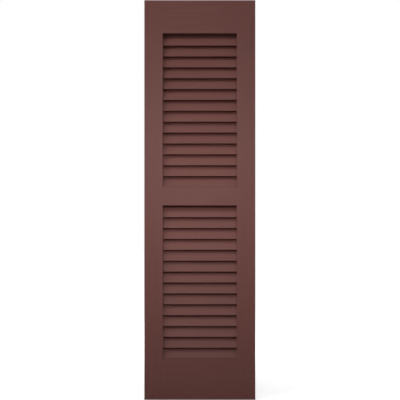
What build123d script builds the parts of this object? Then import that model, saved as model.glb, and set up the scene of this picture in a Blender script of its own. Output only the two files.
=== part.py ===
from build123d import *
import math
import os

# One leaf of a fixed-louver exterior shutter, in painted wood.
# X runs to the right, Z up, and the front faces -Y. The back lies against the wall at Y = 0.
# The origin is the centre of the back face, which falls on the back of the middle rail.

INCH = 25.4

# Leaf and its frame
LEAF_WIDTH = 15 * INCH
LEAF_HEIGHT = 54 * INCH
FRAME_THICKNESS = 1.375 * INCH
STILE_WIDTH = 2.5 * INCH
TOP_RAIL_HEIGHT = 4.5 * INCH
MIDDLE_RAIL_HEIGHT = 2.5 * INCH
BOTTOM_RAIL_HEIGHT = 5.5 * INCH
ARRIS_RADIUS = 1.5

# Blind mortise and tenon joints between rails and stiles
TENON_LENGTH = 1.5 * INCH
TENON_THICKNESS = 0.375 * INCH
TENON_SHOULDER = 0.5 * INCH

# Louvers: blades that lean back, in degrees from upright, from a low nose at the front.
# The top edge is round. The nose is cut level underneath, so that rain drips off its front edge.
LOUVERS_PER_BANK = 14
LOUVER_WIDTH = 1.8125 * INCH
LOUVER_THICKNESS = 0.25 * INCH
LOUVER_TILT = 26.0
LOUVER_RAIL_FIT = 0.05
NOSE_RECESS = 0.3125 * INCH
NOSE_EASE = 1.2
HOUSING_DEPTH = 0.375 * INCH
HOUSING_END_PLAY = 0.2

# Heights that follow from the sizes above
LEAF_TOP = LEAF_HEIGHT / 2
LEAF_BOTTOM = -LEAF_HEIGHT / 2
RAILS_TOTAL = TOP_RAIL_HEIGHT + MIDDLE_RAIL_HEIGHT + BOTTOM_RAIL_HEIGHT
BANK_HEIGHT = (LEAF_HEIGHT - RAILS_TOTAL) / 2
UPPER_BANK_TOP = LEAF_TOP - TOP_RAIL_HEIGHT
MIDDLE_RAIL_TOP = UPPER_BANK_TOP - BANK_HEIGHT
LOWER_BANK_TOP = MIDDLE_RAIL_TOP - MIDDLE_RAIL_HEIGHT
BOTTOM_RAIL_TOP = LOWER_BANK_TOP - BANK_HEIGHT

# Widths and depths that follow
OPENING_WIDTH = LEAF_WIDTH - 2 * STILE_WIDTH
MID_DEPTH = -FRAME_THICKNESS / 2
NOSE_DEPTH = -FRAME_THICKNESS + NOSE_RECESS

# Section of a louver, X up along its front face from the nose and Y out of that face
TILT = math.radians(LOUVER_TILT)
TOP_RADIUS = LOUVER_THICKNESS / 2
NOSE = (0, 0)
HEEL = (LOUVER_THICKNESS * math.tan(TILT), -LOUVER_THICKNESS)
TOP_FRONT = (LOUVER_WIDTH - TOP_RADIUS, 0)
TOP_MIDDLE = (LOUVER_WIDTH, -TOP_RADIUS)
TOP_BACK = (LOUVER_WIDTH - TOP_RADIUS, -LOUVER_THICKNESS)

# Section of its housing, with half an octagon round the top edge
HOUSING_CORNER = TOP_RADIUS * (2 - math.sqrt(2))
HOUSING_TOP = LOUVER_WIDTH + HOUSING_END_PLAY
HOUSING_OUTLINE = (
    (HEEL[0] - HOUSING_END_PLAY, HEEL[1]),
    (NOSE[0] - HOUSING_END_PLAY, NOSE[1]),
    (HOUSING_TOP - HOUSING_CORNER, 0),
    (HOUSING_TOP, -HOUSING_CORNER),
    (HOUSING_TOP, HOUSING_CORNER - LOUVER_THICKNESS),
    (HOUSING_TOP - HOUSING_CORNER, -LOUVER_THICKNESS),
)

# The first louver of a bank meets the rail above it, the last one the rail below it
LOUVER_RISE = TOP_RADIUS + TOP_FRONT[0] * math.cos(TILT) - TOP_RADIUS * math.sin(TILT)
LOUVER_PITCH = (BANK_HEIGHT - LOUVER_RISE - 2 * LOUVER_RAIL_FIT) / (LOUVERS_PER_BANK - 1)

RAILS = {
    "top_rail": (UPPER_BANK_TOP, LEAF_TOP),
    "middle_rail": (LOWER_BANK_TOP, MIDDLE_RAIL_TOP),
    "bottom_rail": (LEAF_BOTTOM, BOTTOM_RAIL_TOP),
}
BANKS = {"upper": UPPER_BANK_TOP, "lower": LOWER_BANK_TOP}


def louver_section(bank_top, index, x):
    """Plane at x that holds the section of one louver, with its origin at the nose."""
    top = bank_top - LOUVER_RAIL_FIT - index * LOUVER_PITCH
    nose = (x, NOSE_DEPTH, top - LOUVER_RISE)
    return Plane(origin=nose, x_dir=(0, math.sin(TILT), math.cos(TILT)), z_dir=(1, 0, 0))


def tenon_block(x, length, rail, mode=Mode.ADD):
    """Block centred at x that is the tenon of a rail, or the mortise which the tenon fills."""
    low, high = RAILS[rail]
    with Locations((x, MID_DEPTH, (low + high) / 2)):
        Box(length, TENON_THICKNESS, high - low - 2 * TENON_SHOULDER, mode=mode)


def write(part, name):
    """Label a finished piece and write it to its own file."""
    part.label = name
    export_step(part, f"parts/{name}.step")


os.makedirs("parts", exist_ok=True)

# The glued-up frame, with every arris that a hand can reach eased after assembly
with BuildPart() as frame:
    with BuildSketch(Plane.XZ):
        Rectangle(LEAF_WIDTH, LEAF_HEIGHT)
        for bank_top in BANKS.values():
            with Locations((0, bank_top - BANK_HEIGHT / 2)):
                Rectangle(OPENING_WIDTH, BANK_HEIGHT, mode=Mode.SUBTRACT)
    extrude(amount=FRAME_THICKNESS)
    front = frame.faces().sort_by(Axis.Y)[0]
    back = frame.faces().sort_by(Axis.Y)[-1]
    corners = frame.edges().filter_by(Axis.Y).group_by(Axis.X)
    fillet([*front.edges(), *back.edges(), *corners[0], *corners[-1]], radius=ARRIS_RADIUS)


# Rails: the frame between the stiles, with a tenon at each end
for name, (low, high) in RAILS.items():
    with BuildPart() as rail:
        add(frame.part)
        with Locations((0, MID_DEPTH, (low + high) / 2)):
            Box(OPENING_WIDTH, FRAME_THICKNESS, high - low, mode=Mode.INTERSECT)
        tenon_block(0, OPENING_WIDTH + 2 * TENON_LENGTH, name)
    write(rail.part, name)


# Stiles: the frame beside the rails, cut with mortises and with a slanted housing for each louver
for name, side in (("left_stile", -1), ("right_stile", 1)):
    inner = side * OPENING_WIDTH / 2
    with BuildPart() as stile:
        add(frame.part)
        with Locations((inner + side * STILE_WIDTH / 2, MID_DEPTH, 0)):
            Box(STILE_WIDTH, FRAME_THICKNESS, LEAF_HEIGHT, mode=Mode.INTERSECT)
        for rail_name in RAILS:
            tenon_block(inner + side * TENON_LENGTH / 2, TENON_LENGTH, rail_name, Mode.SUBTRACT)
        for bank_top in BANKS.values():
            for index in range(LOUVERS_PER_BANK):
                with BuildSketch(louver_section(bank_top, index, inner)):
                    Polygon(*HOUSING_OUTLINE, align=None)
        extrude(amount=side * HOUSING_DEPTH, mode=Mode.SUBTRACT)
    write(stile.part, name)


# Louvers, each one blade whose ends fill a housing in either stile
for bank, bank_top in BANKS.items():
    for index in range(LOUVERS_PER_BANK):
        left_end = -OPENING_WIDTH / 2 - HOUSING_DEPTH
        with BuildPart() as louver:
            with BuildSketch(louver_section(bank_top, index, left_end)) as section:
                with BuildLine():
                    Polyline(TOP_BACK, HEEL, NOSE, TOP_FRONT)
                    ThreePointArc(TOP_FRONT, TOP_MIDDLE, TOP_BACK)
                make_face()
                fillet(section.vertices().sort_by_distance(NOSE)[:2], NOSE_EASE)
            extrude(amount=OPENING_WIDTH + 2 * HOUSING_DEPTH)
        write(louver.part, f"{bank}_louver_{index + 1:02d}")
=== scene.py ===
"""One leaf of a fixed-louver window shutter in dark red-brown satin paint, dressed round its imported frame."""

import logging
import math
from dataclasses import dataclass
from enum import Enum
from typing import Any

import bmesh
import bpy
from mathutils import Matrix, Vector


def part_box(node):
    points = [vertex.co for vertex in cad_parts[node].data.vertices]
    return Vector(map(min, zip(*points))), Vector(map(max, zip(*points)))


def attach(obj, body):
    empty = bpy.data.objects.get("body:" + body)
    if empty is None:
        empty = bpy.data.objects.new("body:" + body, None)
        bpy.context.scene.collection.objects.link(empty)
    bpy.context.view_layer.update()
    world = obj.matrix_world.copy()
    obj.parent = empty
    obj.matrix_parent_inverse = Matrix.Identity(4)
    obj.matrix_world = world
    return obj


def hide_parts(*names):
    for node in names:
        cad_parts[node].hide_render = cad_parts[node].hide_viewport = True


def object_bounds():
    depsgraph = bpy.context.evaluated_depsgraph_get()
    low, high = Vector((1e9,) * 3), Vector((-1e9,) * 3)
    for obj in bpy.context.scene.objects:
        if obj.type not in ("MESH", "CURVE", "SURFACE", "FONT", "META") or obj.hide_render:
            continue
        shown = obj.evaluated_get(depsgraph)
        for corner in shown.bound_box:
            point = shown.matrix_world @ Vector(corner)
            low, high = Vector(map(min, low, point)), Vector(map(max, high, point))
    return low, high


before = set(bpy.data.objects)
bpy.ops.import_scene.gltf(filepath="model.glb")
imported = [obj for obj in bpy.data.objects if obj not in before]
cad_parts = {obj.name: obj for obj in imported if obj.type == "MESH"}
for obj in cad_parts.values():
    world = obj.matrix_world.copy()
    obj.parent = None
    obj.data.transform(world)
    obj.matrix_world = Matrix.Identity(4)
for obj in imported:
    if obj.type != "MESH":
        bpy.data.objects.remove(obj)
cad_low, cad_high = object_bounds()

LOG = logging.getLogger("shutter")
INCH = 0.0254
MILLIMETRE = 0.001
MICRON = 0.000001
BODY = "root"


class Wire:
    """One output socket. Python's operators on it add Math nodes to its tree."""

    def __init__(self, graph: "NodeGraph", socket: bpy.types.NodeSocket) -> None:
        """Wrap a socket.

        Args:
            graph: The tree that the socket belongs to.
            socket: The output socket.
        """
        self.graph = graph
        self.socket = socket

    def __add__(self, other: "Wire | float") -> "Wire":
        """Sum."""
        return self.graph.maths("ADD", self, other)

    def __radd__(self, other: float) -> "Wire":
        """Sum, with the number first."""
        return self.graph.maths("ADD", other, self)

    def __sub__(self, other: "Wire | float") -> "Wire":
        """Difference."""
        return self.graph.maths("SUBTRACT", self, other)

    def __rsub__(self, other: float) -> "Wire":
        """Difference, with the number first."""
        return self.graph.maths("SUBTRACT", other, self)

    def __mul__(self, other: "Wire | float") -> "Wire":
        """Product."""
        return self.graph.maths("MULTIPLY", self, other)

    def __rmul__(self, other: float) -> "Wire":
        """Product, with the number first."""
        return self.graph.maths("MULTIPLY", other, self)

    def __abs__(self) -> "Wire":
        """Size without the sign."""
        return self.graph.maths("ABSOLUTE", self)

    def at_most(self, other: "Wire | float") -> "Wire":
        """The lesser of two values."""
        return self.graph.maths("MINIMUM", self, other)

    def at_least(self, other: "Wire | float") -> "Wire":
        """The greater of two values."""
        return self.graph.maths("MAXIMUM", self, other)


class NodeGraph:
    """A node tree that is built by calls."""

    def __init__(self, tree: bpy.types.NodeTree) -> None:
        """Start on an empty tree.

        Args:
            tree: The tree, whose nodes are removed.
        """
        self.tree = tree
        tree.nodes.clear()

    def node(
        self,
        kind: str,
        settings: dict[str, Any] | None = None,
        inputs: dict[str | int, Any] | None = None,
        output: str | int = 0,
    ) -> Wire | None:
        """Add one node.

        Args:
            kind: The node's type.
            settings: Its properties, which are set first.
            inputs: Values, wires or lists of wires for its sockets, by name or number.
            output: Which output is wanted.

        Returns:
            The wanted output, or None for a node without outputs.
        """
        made = self.tree.nodes.new(kind)
        for name, value in (settings or {}).items():
            setattr(made, name, value)
        for key, value in (inputs or {}).items():
            socket = made.inputs[key]
            wires = value if isinstance(value, list) else [value]
            if isinstance(wires[0], Wire):
                for wire in wires:
                    self.tree.links.new(wire.socket, socket)
            else:
                socket.default_value = value
        return Wire(self, made.outputs[output]) if len(made.outputs) else None

    def maths(self, operation: str, *values: Wire | float) -> Wire:
        """Add a Math node.

        Args:
            operation: What the node does.
            values: Its operands.

        Returns:
            The result.
        """
        return self.node("ShaderNodeMath", {"operation": operation}, dict(enumerate(values)))


class GeometryGraph(NodeGraph):
    """A Geometry Nodes tree with named inputs, used once per piece."""

    def __init__(self, name: str) -> None:
        """Start a tree with one geometry output.

        Args:
            name: The tree's name.
        """
        super().__init__(bpy.data.node_groups.new(name, "GeometryNodeTree"))
        self.tree.interface.new_socket("Geometry", in_out="OUTPUT", socket_type="NodeSocketGeometry")
        self.entry = self.tree.nodes.new("NodeGroupInput")
        self.identifiers: dict[str, str] = {}

    def named_input(self, name: str, socket_type: str) -> Wire:
        """Add an input to the tree.

        Args:
            name: The input's name.
            socket_type: Its socket type.

        Returns:
            The input's wire inside the tree.
        """
        item = self.tree.interface.new_socket(name, in_out="INPUT", socket_type=socket_type)
        self.identifiers[name] = item.identifier
        return Wire(self, self.entry.outputs[name])

    def mesh(self, name: str, values: dict[str, Any]) -> bpy.types.Mesh:
        """Run the tree and keep what it makes.

        Args:
            name: The mesh's name.
            values: A value for every named input.

        Returns:
            A plain mesh.
        """
        holder = bpy.data.objects.new(name + "_maker", bpy.data.meshes.new(name + "_maker"))
        bpy.context.scene.collection.objects.link(holder)
        modifier = holder.modifiers.new("Maker", "NODES")
        modifier.node_group = self.tree
        for key, value in values.items():
            modifier[self.identifiers[key]] = value
        shading = holder.modifiers.new("Even shading", "WEIGHTED_NORMAL")
        shading.keep_sharp = True
        return plain_mesh(holder, name)


def plain_mesh(holder: bpy.types.Object, name: str) -> bpy.types.Mesh:
    """Turn an object with modifiers into a mesh and remove the object.

    Args:
        holder: The object.
        name: The new mesh's name.

    Returns:
        The evaluated mesh.
    """
    evaluated = holder.evaluated_get(bpy.context.evaluated_depsgraph_get())
    made = bpy.data.meshes.new_from_object(evaluated)
    made.name = name
    bpy.data.objects.remove(holder)
    return made


def add_piece(name: str, mesh: bpy.types.Mesh, nodes: list[str]) -> bpy.types.Object:
    """Put a finished mesh into the scene as a piece of the shutter.

    Args:
        name: The piece's name.
        mesh: Its mesh, in place.
        nodes: The CAD nodes that it stands for.

    Returns:
        The piece.
    """
    piece = bpy.data.objects.new(name, mesh)
    bpy.context.scene.collection.objects.link(piece)
    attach(piece, BODY)
    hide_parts(*nodes)
    LOG.info("%s: %d faces, stands for %d nodes", name, len(mesh.polygons), len(nodes))
    return piece


@dataclass(frozen=True)
class LeafSizes:
    """The leaf's sizes in metres, read from the frame."""

    width: float
    height: float
    thickness: float
    stile_width: float
    rails: dict[str, tuple[float, float]]
    banks: dict[str, list[str]]
    blade_thickness: float = 0.25 * INCH
    nose_recess: float = 0.3125 * INCH
    nose_ease: float = 1.2 * MILLIMETRE

    @classmethod
    def from_frame(cls) -> "LeafSizes":
        """Measure the CAD nodes.

        Returns:
            The sizes.
        """
        low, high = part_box("left_stile")
        rail_boxes = {name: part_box(name) for name in ("top_rail", "middle_rail", "bottom_rail")}
        rails = {name: (lowest.z, highest.z) for name, (lowest, highest) in rail_boxes.items()}
        banks = {
            bank: sorted(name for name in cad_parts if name.startswith(f"{bank}_louver"))
            for bank in ("upper", "lower")
        }
        return cls(
            width=cad_high.x - cad_low.x,
            height=cad_high.z - cad_low.z,
            thickness=cad_high.y - cad_low.y,
            stile_width=high.x - low.x,
            rails=rails,
            banks=banks,
        )

    @property
    def opening(self) -> float:
        """Half the width between the stiles."""
        return self.width / 2 - self.stile_width

    def nose(self, node: str) -> Vector:
        """The lower front corner of a blade, before it is eased.

        Args:
            node: The blade's CAD node.

        Returns:
            The corner, halfway along the blade.
        """
        low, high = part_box(node)
        return Vector(((low.x + high.x) / 2, self.nose_recess - self.thickness, low.z))

    @property
    def top_centre(self) -> Vector:
        """From a blade's nose to the centre of its round top.

        Returns:
            The way between them, in the section plane.
        """
        node = self.banks["upper"][0]
        _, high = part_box(node)
        radius = self.blade_thickness / 2
        reach = high - self.nose(node)
        return Vector((0, reach.y - radius, reach.z - radius))

    @property
    def blade_width(self) -> float:
        """Size of a blade along its front face.

        Returns:
            Nose to top.
        """
        radius = self.blade_thickness / 2
        return math.sqrt(self.top_centre.length_squared - radius**2) + radius

    @property
    def blade_tilt(self) -> float:
        """How far a blade leans back from upright.

        Returns:
            The angle in radians.
        """
        radius = self.blade_thickness / 2
        to_centre = math.atan2(self.top_centre.y, self.top_centre.z)
        return to_centre - math.atan2(radius, self.blade_width - radius)

    @property
    def blade_normal(self) -> tuple[float, float, float]:
        """Direction that the blade's flat front face looks in."""
        return (0.0, -math.cos(self.blade_tilt), math.sin(self.blade_tilt))


class Grain(Enum):
    """Which way a member's wood and the brush strokes on it run, as a stretch of the pattern."""

    UPRIGHT = (1.0, 1.0, 0.04)
    LEVEL = (0.04, 1.0, 1.0)


@dataclass(frozen=True)
class PaintLayer:
    """One noise in a finish, and how much it moves the relief, the shade and the roughness.

    Scale is in features to the metre. A brushed layer is drawn out along the grain. With lines, the noise
    is a height map, and the layer draws that many radians of contour lines across its range.
    """

    scale: float
    octaves: float
    brushed: bool = False
    lines: float = 0.0
    relief: float = 0.0
    shade: float = 0.0
    rough: float = 0.0
    fineness: float = 0.55

    def value(self, graph: NodeGraph, place: Wire, along: Wire) -> Wire:
        """Add the layer's nodes.

        Args:
            graph: The material's tree.
            place: Place on the piece.
            along: The same, drawn out along the grain.

        Returns:
            A value from -0.5 to 0.5.
        """
        noise = graph.node(
            "ShaderNodeTexNoise",
            inputs={
                "Vector": along if self.brushed else place,
                "Scale": self.scale,
                "Detail": self.octaves,
                "Roughness": self.fineness,
            },
        )
        if self.lines:
            return graph.maths("SINE", noise * self.lines) * 0.5
        return noise - 0.5


@dataclass(frozen=True)
class SatinPaint:
    """Brushed satin paint over planed wood, with a little of the grain showing through."""

    name: str
    slot: str
    grain: Grain
    flats: tuple[tuple[float, float, float], ...]
    colour: tuple[float, float, float] = (0.128, 0.0495, 0.0425)
    roughness: float = 0.42
    specular: float = 0.11
    clouds: PaintLayer = PaintLayer(scale=6.0, octaves=2.0, shade=0.10, rough=0.06)
    brush_strokes: PaintLayer = PaintLayer(
        scale=420.0, octaves=3.0, brushed=True, relief=36 * MICRON, shade=0.17, rough=0.24
    )
    stipple: PaintLayer = PaintLayer(scale=1100.0, octaves=1.0, relief=14 * MICRON)
    growth_lines: PaintLayer = PaintLayer(
        scale=12.0, octaves=1.0, brushed=True, lines=130.0, relief=32 * MICRON, shade=0.044
    )
    pores: PaintLayer = PaintLayer(scale=150.0, octaves=4.0, brushed=True, relief=60 * MICRON, shade=0.10)
    arris_gain: float = 3.0
    # Rounded arrises and noses are painted lighter: partly paint worn thin there, partly a painted highlight
    # where edges catch light.
    arris_wear_and_highlight: float = 0.14
    arris_polish: float = 0.05
    tone_shade: float = 0.035

    def material(self) -> bpy.types.Material:
        """Build the finish.

        Returns:
            The material.
        """
        made = bpy.data.materials.new(self.name)
        made.use_nodes = True
        made.diffuse_color = (*self.colour, 1.0)
        graph = NodeGraph(made.node_tree)
        place = graph.node("ShaderNodeTexCoord", output="Object")
        along = graph.node("ShaderNodeVectorMath", {"operation": "MULTIPLY"}, {0: place, 1: self.grain.value})
        tone = graph.node("ShaderNodeAttribute", {"attribute_name": "tone"}, output="Fac")
        arris = self._arris(graph)
        # Arrises and noses are painted lighter, as worn paint and as a painted highlight along the edges and
        # noses.
        shade = 1.0 + arris * self.arris_wear_and_highlight + tone * self.tone_shade
        rough = self.roughness - arris * self.arris_polish
        relief = 0.0
        for layer in (self.clouds, self.brush_strokes, self.stipple, self.growth_lines, self.pores):
            value = layer.value(graph, place, along)
            if layer.shade:
                shade = shade + value * layer.shade
            if layer.rough:
                rough = rough + value * layer.rough
            if layer.relief:
                relief = relief + value * layer.relief
        colour = graph.node("ShaderNodeVectorMath", {"operation": "SCALE"}, {0: self.colour, "Scale": shade})
        normal = graph.node("ShaderNodeBump", inputs={"Strength": 1.0, "Distance": 1.0, "Height": relief})
        shader = graph.node(
            "ShaderNodeBsdfPrincipled",
            inputs={
                "Base Color": colour,
                "Roughness": rough,
                "Specular IOR Level": self.specular,
                "Normal": normal,
            },
        )
        graph.node("ShaderNodeOutputMaterial", inputs={"Surface": shader})
        return made

    def _arris(self, graph: NodeGraph) -> Wire:
        """How far the surface turns away from the member's flat faces, from 0 to 1.

        Args:
            graph: The tree.

        Returns:
            The mask, high on rounded arrises and noses.
        """
        facing = graph.node("ShaderNodeTexCoord", output="Normal")
        flat: Wire | None = None
        for direction in self.flats:
            along = abs(
                graph.node(
                    "ShaderNodeVectorMath", {"operation": "DOT_PRODUCT"}, {0: facing, 1: direction}, "Value"
                )
            )
            flat = along if flat is None else flat.at_least(along)
        return ((1.0 - flat) * self.arris_gain).at_most(1.0)


@dataclass
class JoinedFrame:
    """The glued-up frame: two stiles and three rails with eased arrises, flush where they meet."""

    sizes: LeafSizes
    arris: float = 1.5 * MILLIMETRE
    arris_steps: int = 5
    shoulder_line: float = 0.06 * MILLIMETRE
    stub: float = 0.02 * MILLIMETRE
    rail_margin: float = 0.625 * INCH
    sharp_angle: float = math.radians(40)
    square_angle: float = math.radians(80)

    def build(
        self, stile_paint: SatinPaint, rail_paint: SatinPaint, cutters: list[bpy.types.Mesh]
    ) -> None:
        """Make the five members.

        Args:
            stile_paint: The stiles' finish.
            rail_paint: The rails' finish.
            cutters: The shape of all louvers, a little oversize, one mesh for each bank.
        """
        stile_material = stile_paint.material()
        rail_material = rail_paint.material()
        for name, side in (("left_stile", -1), ("right_stile", 1)):
            blank = self._blank()
            reach = self.sizes.opening - self.stub
            self._trim(blank, Vector((side * reach, 0, 0)), Vector((-side, 0, 0)))
            mesh = self._finish(blank, name, stile_material, cutters)
            add_piece(f"{name}_painted", mesh, [name])
        for name, (low, high) in self.sizes.rails.items():
            blank = self._blank()
            reach = self.sizes.opening - self.stub - self.shoulder_line
            for side in (-1, 1):
                self._trim(blank, Vector((side * reach, 0, 0)), Vector((side, 0, 0)))
            kept_from, kept_to = low - self.rail_margin, high + self.rail_margin
            strays = [vert for vert in blank.verts if not kept_from < vert.co.z < kept_to]
            bmesh.ops.delete(blank, geom=strays, context="VERTS")
            mesh = self._finish(blank, name, rail_material, [])
            add_piece(f"{name}_painted", mesh, [name])
        LOG.info("frame %.3f m wide, arrises eased to %.1f mm", self.sizes.width, self.arris / MILLIMETRE)

    def _blank(self) -> bmesh.types.BMesh:
        """The whole frame as one solid with its arrises eased.

        Returns:
            The solid.
        """
        sizes = self.sizes
        across = [-sizes.width / 2, -sizes.opening, sizes.opening, sizes.width / 2]
        up = sorted(z for span in sizes.rails.values() for z in span)
        depths = (-sizes.thickness, 0.0)
        solid = bmesh.new()
        corners = {
            (i, j, k): solid.verts.new((x, y, z))
            for i, x in enumerate(across)
            for j, z in enumerate(up)
            for k, y in enumerate(depths)
        }
        openings = {(1, 1), (1, 3)}
        cells = {(i, j) for i in range(len(across) - 1) for j in range(len(up) - 1)} - openings
        for i, j in cells:
            ring = ((i, j), (i + 1, j), (i + 1, j + 1), (i, j + 1))
            solid.faces.new([corners[a, b, 0] for a, b in ring])
            solid.faces.new([corners[a, b, 1] for a, b in reversed(ring)])
            for (a, b), (c, d), beside in zip(
                ring, ring[1:] + ring[:1], ((i, j - 1), (i + 1, j), (i, j + 1), (i - 1, j)), strict=True
            ):
                if beside not in cells:
                    solid.faces.new([corners[a, b, 0], corners[a, b, 1], corners[c, d, 1], corners[c, d, 0]])
        bmesh.ops.recalc_face_normals(solid, faces=solid.faces)
        edges = [edge for edge in solid.edges if self._is_eased(edge)]
        bmesh.ops.bevel(
            solid,
            geom=edges,
            offset=self.arris,
            offset_type="OFFSET",
            segments=self.arris_steps,
            profile=0.5,
            affect="EDGES",
        )
        return solid

    def _is_eased(self, edge: bmesh.types.BMEdge) -> bool:
        """Whether an edge of the square frame is one that a hand can reach from outside.

        Args:
            edge: The edge.

        Returns:
            True for front, back and outer edges, and False for those that run back inside an opening.
        """
        if edge.calc_face_angle(0.0) < self.square_angle:
            return False
        start, end = (vert.co for vert in edge.verts)
        runs_back = abs(start.y - end.y) > MILLIMETRE
        return not runs_back or abs(abs(start.x) - self.sizes.width / 2) < MILLIMETRE

    @staticmethod
    def _trim(solid: bmesh.types.BMesh, point: Vector, normal: Vector) -> None:
        """Cut away what lies beyond a plane and close the cut.

        Args:
            solid: The solid.
            point: A point on the plane.
            normal: The side that goes.
        """
        geometry = [*solid.verts, *solid.edges, *solid.faces]
        cut = bmesh.ops.bisect_plane(solid, geom=geometry, plane_co=point, plane_no=normal, clear_outer=True)
        rim = [item for item in cut["geom_cut"] if isinstance(item, bmesh.types.BMEdge)]
        bmesh.ops.edgeloop_fill(solid, edges=rim)

    def _finish(
        self, solid: bmesh.types.BMesh, name: str, material: bpy.types.Material, cutters: list[bpy.types.Mesh]
    ) -> bpy.types.Mesh:
        """Cut the housings, set the shading and keep the mesh.

        Args:
            solid: The member.
            name: Its name.
            material: Its material.
            cutters: What is cut out of it.

        Returns:
            The finished mesh.
        """
        bmesh.ops.recalc_face_normals(solid, faces=solid.faces)
        mesh = bpy.data.meshes.new(name + "_blank")
        solid.to_mesh(mesh)
        solid.free()
        mesh.materials.append(material)
        holder = bpy.data.objects.new(name + "_maker", mesh)
        bpy.context.scene.collection.objects.link(holder)
        tools = []
        for cutter in cutters:
            tool = bpy.data.objects.new(name + "_cutter", cutter)
            bpy.context.scene.collection.objects.link(tool)
            tools.append(tool)
            cut = holder.modifiers.new("Housings", "BOOLEAN")
            cut.operation = "DIFFERENCE"
            cut.solver = "EXACT"
            cut.object = tool
        housed = plain_mesh(holder, name + "_housed")
        for tool in tools:
            bpy.data.objects.remove(tool)
        shaped = bmesh.new()
        shaped.from_mesh(housed)
        for edge in shaped.edges:
            edge.smooth = edge.calc_face_angle(0.0) < self.sharp_angle
        for face in shaped.faces:
            face.smooth = True
            face.material_index = 0
        shaped.to_mesh(housed)
        shaped.free()
        housed.materials.clear()
        housed.materials.append(material)
        shaded = bpy.data.objects.new(name + "_maker", housed)
        bpy.context.scene.collection.objects.link(shaded)
        shading = shaded.modifiers.new("Even shading", "WEIGHTED_NORMAL")
        shading.keep_sharp = True
        return plain_mesh(shaded, name)


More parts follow.
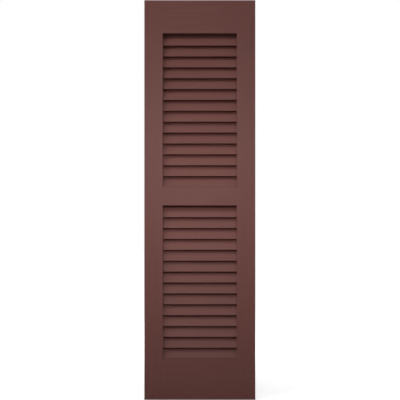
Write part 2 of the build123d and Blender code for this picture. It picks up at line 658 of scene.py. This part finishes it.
@dataclass
class LouverBanks:
    """The two banks of fixed louvers. One node tree makes them, and the housings that they fill."""

    sizes: LeafSizes
    round_steps: int = 6
    roundness: float = 0.499
    soft_angle: float = math.radians(50)
    sway: float = math.radians(0.12)
    seed: int = 11
    bead_radius: float = 0.45 * MILLIMETRE
    bead_sides: int = 8
    housing_clearance: float = 0.1 * MILLIMETRE

    def __post_init__(self) -> None:
        """Build the tree once."""
        self.graph = self._tree()

    def build(self, paint: SatinPaint) -> None:
        """Make both banks.

        Args:
            paint: The louvers' finish.
        """
        material = paint.material()
        for index, (bank, nodes) in enumerate(self.sizes.banks.items()):
            name = f"{bank}_louvers"
            mesh = self._bank_mesh(name, nodes, 0.0, self.sway, self.seed + index, True, material)
            add_piece(name, mesh, nodes)

    def cutters(self) -> list[bpy.types.Mesh]:
        """The blades a little oversize, to cut their housings.

        Returns:
            One mesh for each bank.
        """
        clearance = self.housing_clearance
        return [
            self._bank_mesh(f"{bank}_housings", nodes, clearance, 0.0, self.seed, False, None)
            for bank, nodes in self.sizes.banks.items()
        ]

    def _bank_mesh(
        self,
        name: str,
        nodes: list[str],
        grow: float,
        sway: float,
        seed: int,
        beads: bool,
        material: bpy.types.Material | None,
    ) -> bpy.types.Mesh:
        """Run the tree for one bank.

        Args:
            name: The mesh's name.
            nodes: The bank's CAD nodes, from the top down.
            grow: Added all round the blades.
            sway: Greatest change of tilt from blade to blade.
            seed: Seed of that change and of the tone.
            beads: Whether the paint beads at the stiles are made.
            material: The material, if any.

        Returns:
            The bank as one mesh.
        """
        sizes = self.sizes
        low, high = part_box(nodes[0])
        first, second = sizes.nose(nodes[0]), sizes.nose(nodes[1])
        values = {
            "Blade count": len(nodes),
            "Pitch": first.z - second.z,
            "Blade width": sizes.blade_width,
            "Blade thickness": sizes.blade_thickness,
            "Blade length": high.x - low.x,
            "Nose ease": sizes.nose_ease,
            "Clearance": grow,
            "Tilt": sizes.blade_tilt,
            "First nose": first,
            "Half opening": sizes.opening,
            "Bead radius": self.bead_radius,
            "Sway": sway,
            "Seed": seed,
            "Beads": beads,
            "Paint": material,
        }
        return self.graph.mesh(name, values)

    def _tree(self) -> GeometryGraph:
        """Build the tree that makes a bank.

        Returns:
            The tree.
        """
        graph = GeometryGraph("Louver bank")
        count = graph.named_input("Blade count", "NodeSocketInt")
        pitch = graph.named_input("Pitch", "NodeSocketFloat")
        width = graph.named_input("Blade width", "NodeSocketFloat")
        thickness = graph.named_input("Blade thickness", "NodeSocketFloat")
        length = graph.named_input("Blade length", "NodeSocketFloat")
        nose_ease = graph.named_input("Nose ease", "NodeSocketFloat")
        clearance = graph.named_input("Clearance", "NodeSocketFloat")
        tilt = graph.named_input("Tilt", "NodeSocketFloat")
        first = graph.named_input("First nose", "NodeSocketVector")
        opening = graph.named_input("Half opening", "NodeSocketFloat")
        bead_radius = graph.named_input("Bead radius", "NodeSocketFloat")
        sway = graph.named_input("Sway", "NodeSocketFloat")
        seed = graph.named_input("Seed", "NodeSocketInt")
        with_beads = graph.named_input("Beads", "NodeSocketBool")
        paint = graph.named_input("Paint", "NodeSocketMaterial")

        section = self._section(graph, width, thickness, nose_ease, clearance, tilt)
        half = length * 0.5 + clearance
        axis = graph.node(
            "GeometryNodeCurvePrimitiveLine",
            inputs={
                "Start": graph.node("ShaderNodeCombineXYZ", inputs={"X": 0.0 - half}),
                "End": graph.node("ShaderNodeCombineXYZ", inputs={"X": half}),
            },
        )
        profile = graph.node(
            "GeometryNodeTransform", inputs={"Geometry": section, "Rotation": (0.0, 0.0, math.pi)}
        )
        blade = graph.node(
            "GeometryNodeCurveToMesh", inputs={"Curve": axis, "Profile Curve": profile, "Fill Caps": True}
        )
        outline = graph.node(
            "GeometryNodeTransform",
            inputs={"Geometry": section, "Rotation": (math.pi / 2, 0.0, math.pi / 2)},
        )
        ring = graph.node(
            "GeometryNodeCurveToMesh",
            inputs={
                "Curve": outline,
                "Profile Curve": graph.node(
                    "GeometryNodeCurvePrimitiveCircle",
                    inputs={"Resolution": self.bead_sides, "Radius": bead_radius},
                ),
            },
        )
        rings = [
            graph.node(
                "GeometryNodeTransform",
                inputs={
                    "Geometry": ring,
                    "Translation": graph.node("ShaderNodeCombineXYZ", inputs={"X": opening * side}),
                },
            )
            for side in (-1.0, 1.0)
        ]
        both_rings = graph.node("GeometryNodeJoinGeometry", inputs={"Geometry": rings})
        beads = graph.node(
            "GeometryNodeSwitch", {"input_type": "GEOMETRY"}, {"Switch": with_beads, "True": both_rings}
        )
        unit = graph.node("GeometryNodeJoinGeometry", inputs={"Geometry": [blade, beads]})
        column = graph.node(
            "GeometryNodeMeshLine",
            {"mode": "OFFSET"},
            {
                "Count": count,
                "Start Location": first,
                "Offset": graph.node("ShaderNodeCombineXYZ", inputs={"Z": 0.0 - pitch}),
            },
        )
        change = graph.node(
            "FunctionNodeRandomValue", {"data_type": "FLOAT"}, {2: -1.0, 3: 1.0, "Seed": seed}, 1
        )
        lean = graph.node("ShaderNodeCombineXYZ", inputs={"X": change * sway - tilt})
        places = {"Points": column, "Instance": unit, "Rotation": lean}
        placed = graph.node("GeometryNodeInstanceOnPoints", inputs=places)
        tone = graph.node(
            "FunctionNodeRandomValue", {"data_type": "FLOAT"}, {2: -1.0, 3: 1.0, "Seed": seed + 1.0}, 1
        )
        toned = graph.node(
            "GeometryNodeStoreNamedAttribute",
            {"data_type": "FLOAT", "domain": "INSTANCE"},
            {"Geometry": placed, "Name": "tone", "Value": tone},
        )
        real = graph.node("GeometryNodeRealizeInstances", inputs={"Geometry": toned})
        angle = graph.node("GeometryNodeInputMeshEdgeAngle")
        soft = graph.node(
            "GeometryNodeSetShadeSmooth",
            {"domain": "EDGE"},
            {"Geometry": real, "Shade Smooth": graph.maths("LESS_THAN", angle, self.soft_angle)},
        )
        smooth = graph.node("GeometryNodeSetShadeSmooth", inputs={"Geometry": soft, "Shade Smooth": True})
        painted = graph.node("GeometryNodeSetMaterial", inputs={"Geometry": smooth, "Material": paint})
        graph.node("NodeGroupOutput", inputs={"Geometry": painted})
        return graph

    def _section(
        self, graph: GeometryGraph, width: Wire, thickness: Wire, nose_ease: Wire, clearance: Wire, tilt: Wire
    ) -> Wire:
        """Outline of an upright blade, X from its front to its back and Y up from its nose.

        Args:
            graph: The tree.
            width: Nose to top.
            thickness: Front to back.
            nose_ease: Radius on both corners of the nose.
            clearance: Added all round.
            tilt: The lean that the blade gets later, at which its nose is cut level.

        Returns:
            The closed curve.
        """
        front = 0.0 - clearance
        back = thickness + clearance
        top = width + clearance
        heel = thickness * graph.maths("TANGENT", tilt) - clearance
        corners = {
            f"Point {number}": graph.node("ShaderNodeCombineXYZ", inputs={"X": across, "Y": up})
            for number, (across, up) in enumerate(
                ((front, front), (back, heel), (back, top), (front, top)), start=1
            )
        }
        square = graph.node("GeometryNodeCurvePrimitiveQuadrilateral", {"mode": "POINTS"}, corners)
        top_radius = (back - front) * self.roundness
        # Points 0 and 1 are the nose's corners
        at_nose = graph.maths("LESS_THAN", graph.node("GeometryNodeInputIndex"), 1.5)
        return graph.node(
            "GeometryNodeFilletCurve",
            {"mode": "POLY"},
            {
                "Curve": square,
                "Count": self.round_steps,
                "Radius": top_radius + at_nose * (nose_ease - top_radius),
            },
        )


@dataclass(frozen=True)
class StudioLamp:
    """A square studio lamp, or a round one that throws a soft-edged beam."""

    name: str
    place: tuple[float, float, float]
    aim: tuple[float, float, float]
    side: float
    watts: float
    beam: float = 0.0

    def light(self) -> None:
        """Put the lamp into the scene."""
        data = bpy.data.lights.new(self.name, "SPOT" if self.beam else "AREA")
        if self.beam:
            data.spot_size = self.beam
            data.spot_blend = 1.0
            data.shadow_soft_size = self.side / 2
        else:
            data.shape = "SQUARE"
            data.size = self.side
        data.energy = self.watts
        lamp = bpy.data.objects.new(self.name, data)
        lamp.location = self.place
        direction = Vector(self.aim) - Vector(self.place)
        lamp.rotation_euler = direction.to_track_quat("-Z", "Y").to_euler()
        bpy.context.scene.collection.objects.link(lamp)
        LOG.info("lamp %s, %.1f W", self.name, self.watts)


@dataclass
class Studio:
    """White surroundings, a pale floor, soft lamps and the camera, straight in front of the leaf."""

    sizes: LeafSizes
    camera_distance: float = 3.2
    image_side: float = 400.0
    leaf_pixels: float = 399.95
    leaf_middle_column: float = 199.83
    sensor: float = 36.0
    sight: float = 100.0
    surround_light: float = 0.04
    floor_reach: float = 9.0
    shadow_near: float = 0.7
    shadow_far: float = 1.2
    floor_colour: float = 0.65
    floor_glow_near: float = 0.63
    floor_glow_far: float = 1.0
    lamps: tuple[StudioLamp, ...] = (
        StudioLamp("left_large", (-1.5, -1.2, 1.1), (0.0, 0.0, 0.25), 1.2, 19.4),
        StudioLamp("right_large", (1.2, -1.3, 1.2), (0.0, 0.0, 0.25), 1.2, 6.6),
        StudioLamp("left_high", (-1.0, -1.3, 1.5), (0.0, 0.0, 0.75), 0.5, 4.6),
        StudioLamp("front_high", (0.0, -1.3, 1.6), (0.0, 0.0, 0.8), 0.5, 5.5),
        StudioLamp("middle_beam", (-0.1, -1.8, 0.5), (0.0, 0.0, -0.07), 0.7, 85.0, math.radians(40)),
        StudioLamp("back_fill", (-0.7, 1.8, 0.6), (0.0, 0.0, 0.1), 0.9, 16.0),
        StudioLamp("right_fill", (1.9, 0.5, 0.3), (0.1, 0.0, 0.0), 0.8, 10.0),
    )

    def build(self) -> None:
        """Set up everything that isn't the shutter."""
        scene = bpy.context.scene
        scene.view_settings.view_transform = "Standard"
        self._world(scene)
        self._floor(scene)
        for lamp in self.lamps:
            lamp.light()
        self._camera(scene)

    @staticmethod
    def _seen(graph: NodeGraph) -> Wire:
        """Which rays show the background: from the camera, off gloss or through glass.

        Args:
            graph: The tree.

        Returns:
            1 for those rays and 0 for all others.
        """
        camera = graph.node("ShaderNodeLightPath", output="Is Camera Ray")
        glossy = graph.node("ShaderNodeLightPath", output="Is Glossy Ray")
        through = graph.node("ShaderNodeLightPath", output="Is Transmission Ray")
        return camera.at_least(glossy).at_least(through)

    def _world(self, scene: bpy.types.Scene) -> None:
        """White to the eye, and dimmer as a light.

        Args:
            scene: The scene.
        """
        world = bpy.data.worlds.new("White surroundings")
        world.use_nodes = True
        scene.world = world
        graph = NodeGraph(world.node_tree)
        strength = self.surround_light + self._seen(graph) * (1.0 - self.surround_light)
        glow = graph.node("ShaderNodeBackground", inputs={"Color": (1, 1, 1, 1), "Strength": strength})
        graph.node("ShaderNodeOutputWorld", inputs={"Surface": glow})

    def _floor(self, scene: bpy.types.Scene) -> None:
        """A pale floor under the leaf, which keeps its shadow.

        Args:
            scene: The scene.
        """
        reach = self.floor_reach
        height = cad_low.z
        mesh = bpy.data.meshes.new("floor")
        corners = [
            (across * reach, back * reach, height) for across, back in ((-1, -1), (1, -1), (1, 1), (-1, 1))
        ]
        mesh.from_pydata(corners, [], [tuple(range(len(corners)))])
        material = bpy.data.materials.new("Pale floor")
        material.use_nodes = True
        graph = NodeGraph(material.node_tree)
        place = graph.node("ShaderNodeTexCoord", output="Object")
        away = graph.node("ShaderNodeVectorMath", {"operation": "LENGTH"}, {0: place}, "Value")
        spread = graph.node(
            "ShaderNodeMapRange",
            {"interpolation_type": "SMOOTHSTEP"},
            {
                "Value": away,
                "From Min": self.shadow_near,
                "From Max": self.shadow_far,
                "To Min": self.floor_glow_near,
                "To Max": self.floor_glow_far,
            },
        )
        glow = graph.node(
            "ShaderNodeEmission", inputs={"Color": (1, 1, 1, 1), "Strength": spread * self._seen(graph)}
        )
        matt = graph.node("ShaderNodeBsdfDiffuse", inputs={"Color": (self.floor_colour,) * 3 + (1.0,)})
        surface = graph.node("ShaderNodeAddShader", inputs={0: glow, 1: matt})
        graph.node("ShaderNodeOutputMaterial", inputs={"Surface": surface})
        mesh.materials.append(material)
        floor = bpy.data.objects.new("floor", mesh)
        scene.collection.objects.link(floor)

    def _camera(self, scene: bpy.types.Scene) -> None:
        """The photograph's view: level with the leaf's middle and square to it.

        Args:
            scene: The scene.
        """
        data = bpy.data.cameras.new("camera")
        data.sensor_width = self.sensor
        shown = self.sizes.height * self.image_side / self.leaf_pixels
        data.lens = self.sensor * self.camera_distance / shown
        data.shift_x = 0.5 - self.leaf_middle_column / self.image_side
        data.clip_end = self.sight
        camera = bpy.data.objects.new("camera", data)
        camera.location = (0.0, -self.sizes.thickness - self.camera_distance, 0.0)
        camera.rotation_euler = (math.pi / 2, 0.0, 0.0)
        scene.collection.objects.link(camera)
        scene.camera = camera


def main() -> None:
    """Build the shutter's pieces and the studio."""
    logging.basicConfig(level=logging.INFO, format="%(name)s: %(message)s")
    sizes = LeafSizes.from_frame()
    axes = ((1.0, 0.0, 0.0), (0.0, 1.0, 0.0), (0.0, 0.0, 1.0))
    stile_paint = SatinPaint("Satin paint, upright", "stile_paint", Grain.UPRIGHT, axes)
    rail_paint = SatinPaint("Satin paint, level", "rail_paint", Grain.LEVEL, axes)
    louver_paint = SatinPaint(
        "Satin paint, louvers",
        "louver_paint",
        Grain.LEVEL,
        (axes[0], sizes.blade_normal, axes[2]),
        # The noses are painted lighter still: a painted highlight along each louver's nose, besides wear.
        arris_wear_and_highlight=0.3,
    )
    banks = LouverBanks(sizes)
    banks.build(louver_paint)
    JoinedFrame(sizes).build(stile_paint, rail_paint, banks.cutters())
    Studio(sizes).build()
    LOG.info("sizes written")


if __name__ == "__main__":
    main()
